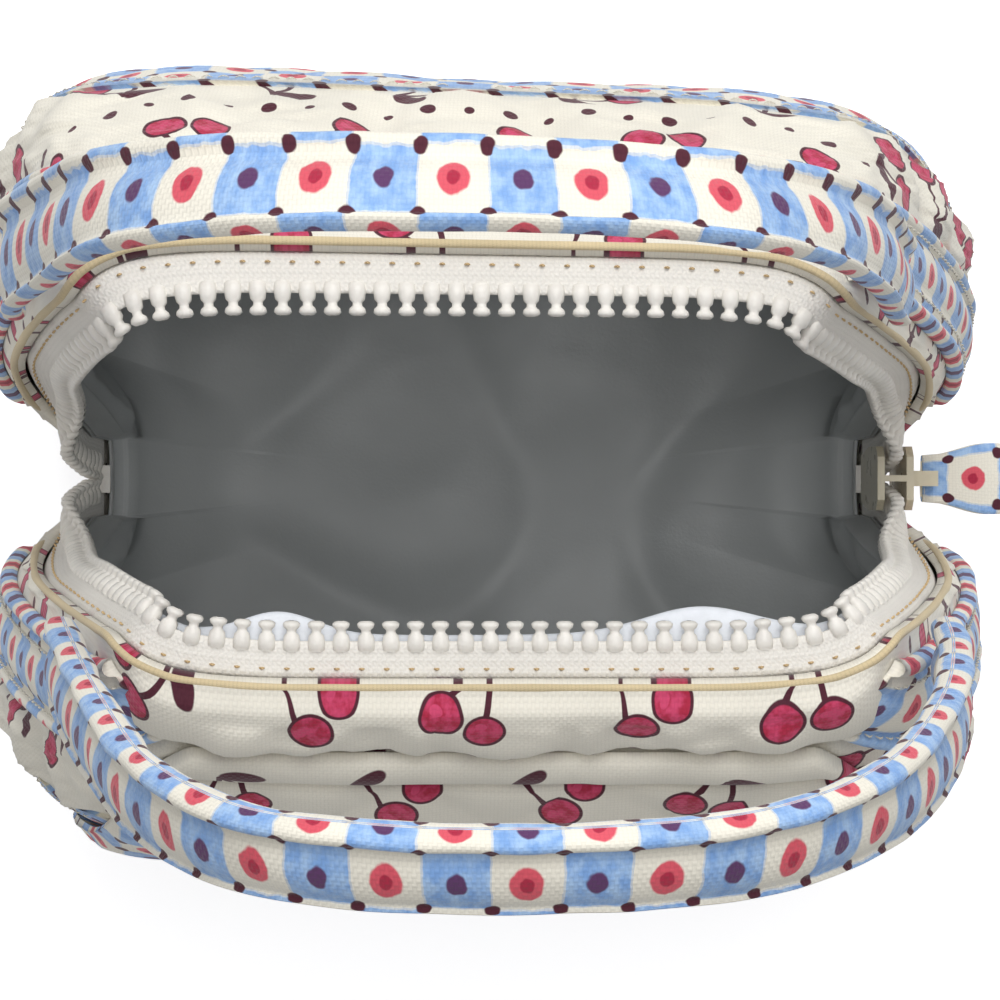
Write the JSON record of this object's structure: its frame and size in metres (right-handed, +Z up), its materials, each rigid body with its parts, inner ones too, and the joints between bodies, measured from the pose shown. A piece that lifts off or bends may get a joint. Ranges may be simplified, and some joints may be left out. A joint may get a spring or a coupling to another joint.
{
  "type": "insulated tote bag",
  "caption": "Soft insulated tote bag, open at the top, with a zip down to both sides, padded carry handles, a front slip pocket and a contrast base.",
  "frame": {"origin": "middle of the flat bottom, on the floor", "axes": "+Z up, +X towards the zip slider, -Y towards the front pocket"},
  "size_m": [0.2049, 0.1487, 0.3062],
  "materials": {
    "print_cotton": "quilted cotton, cream with a small all-over print",
    "trim_cotton": "quilted cotton, light blue check",
    "foam": "closed-cell foam, matt",
    "board": "stiff board, matt",
    "lining_sheet": "coated lining, slight sheen",
    "zip_tape": "woven tape, warm white",
    "zip_teeth": "moulded plastic, satin",
    "slider_enamel": "ivory enamel, satin"
  },
  "bodies": {
    "bag": {"back_outer_panel": "print_cotton", "front_outer_panel": "print_cotton", "pocket_panel": "print_cotton", "base_boot": "trim_cotton", "pocket_band": "trim_cotton", "pocket_hem": "trim_cotton", "back_right_strap": "trim_cotton", "back_left_strap": "trim_cotton", "front_right_strap": "trim_cotton", "front_left_strap": "trim_cotton", "back_foam_wall": "foam", "front_foam_wall": "foam", "base_foam": "foam", "base_board": "board", "lining": "lining_sheet", "back_zip_tape": "zip_tape", "front_zip_tape": "zip_tape", "back_zip_teeth": "zip_teeth", "front_zip_teeth": "zip_teeth", "zip_stop_right": "slider_enamel", "zip_stop_left": "slider_enamel"},
    "back_handle": {"back_handle_cover": "trim_cotton", "back_handle_padding": "foam"},
    "front_handle": {"front_handle_cover": "trim_cotton", "front_handle_padding": "foam"},
    "slider": {"zip_slider": "slider_enamel"},
    "pull": {"zip_pull": "trim_cotton"}
  },
  "joints": [
    {"name": "back_handle_hinge", "type": "hinge", "parent": "bag", "child": "back_handle", "pos_m": [0, 0.034, 0.19], "axis": [1, 0, 0], "range_deg": [-90, 13]},
    {"name": "front_handle_hinge", "type": "hinge", "parent": "bag", "child": "front_handle", "pos_m": [0, -0.0313, 0.19], "axis": [1, 0, 0], "range_deg": [-26, 80]},
    {"name": "slider_slide", "type": "slide", "parent": "bag", "child": "slider", "axis": [-0.0906, 0, -0.9959], "range_m": [0, 0.009]},
    {"name": "pull_hinge", "type": "hinge", "parent": "slider", "child": "pull", "pos_m": [0.08475, 0, 0.05449], "axis": [0, 1, 0], "range_deg": [-50, 30]}
  ]
}
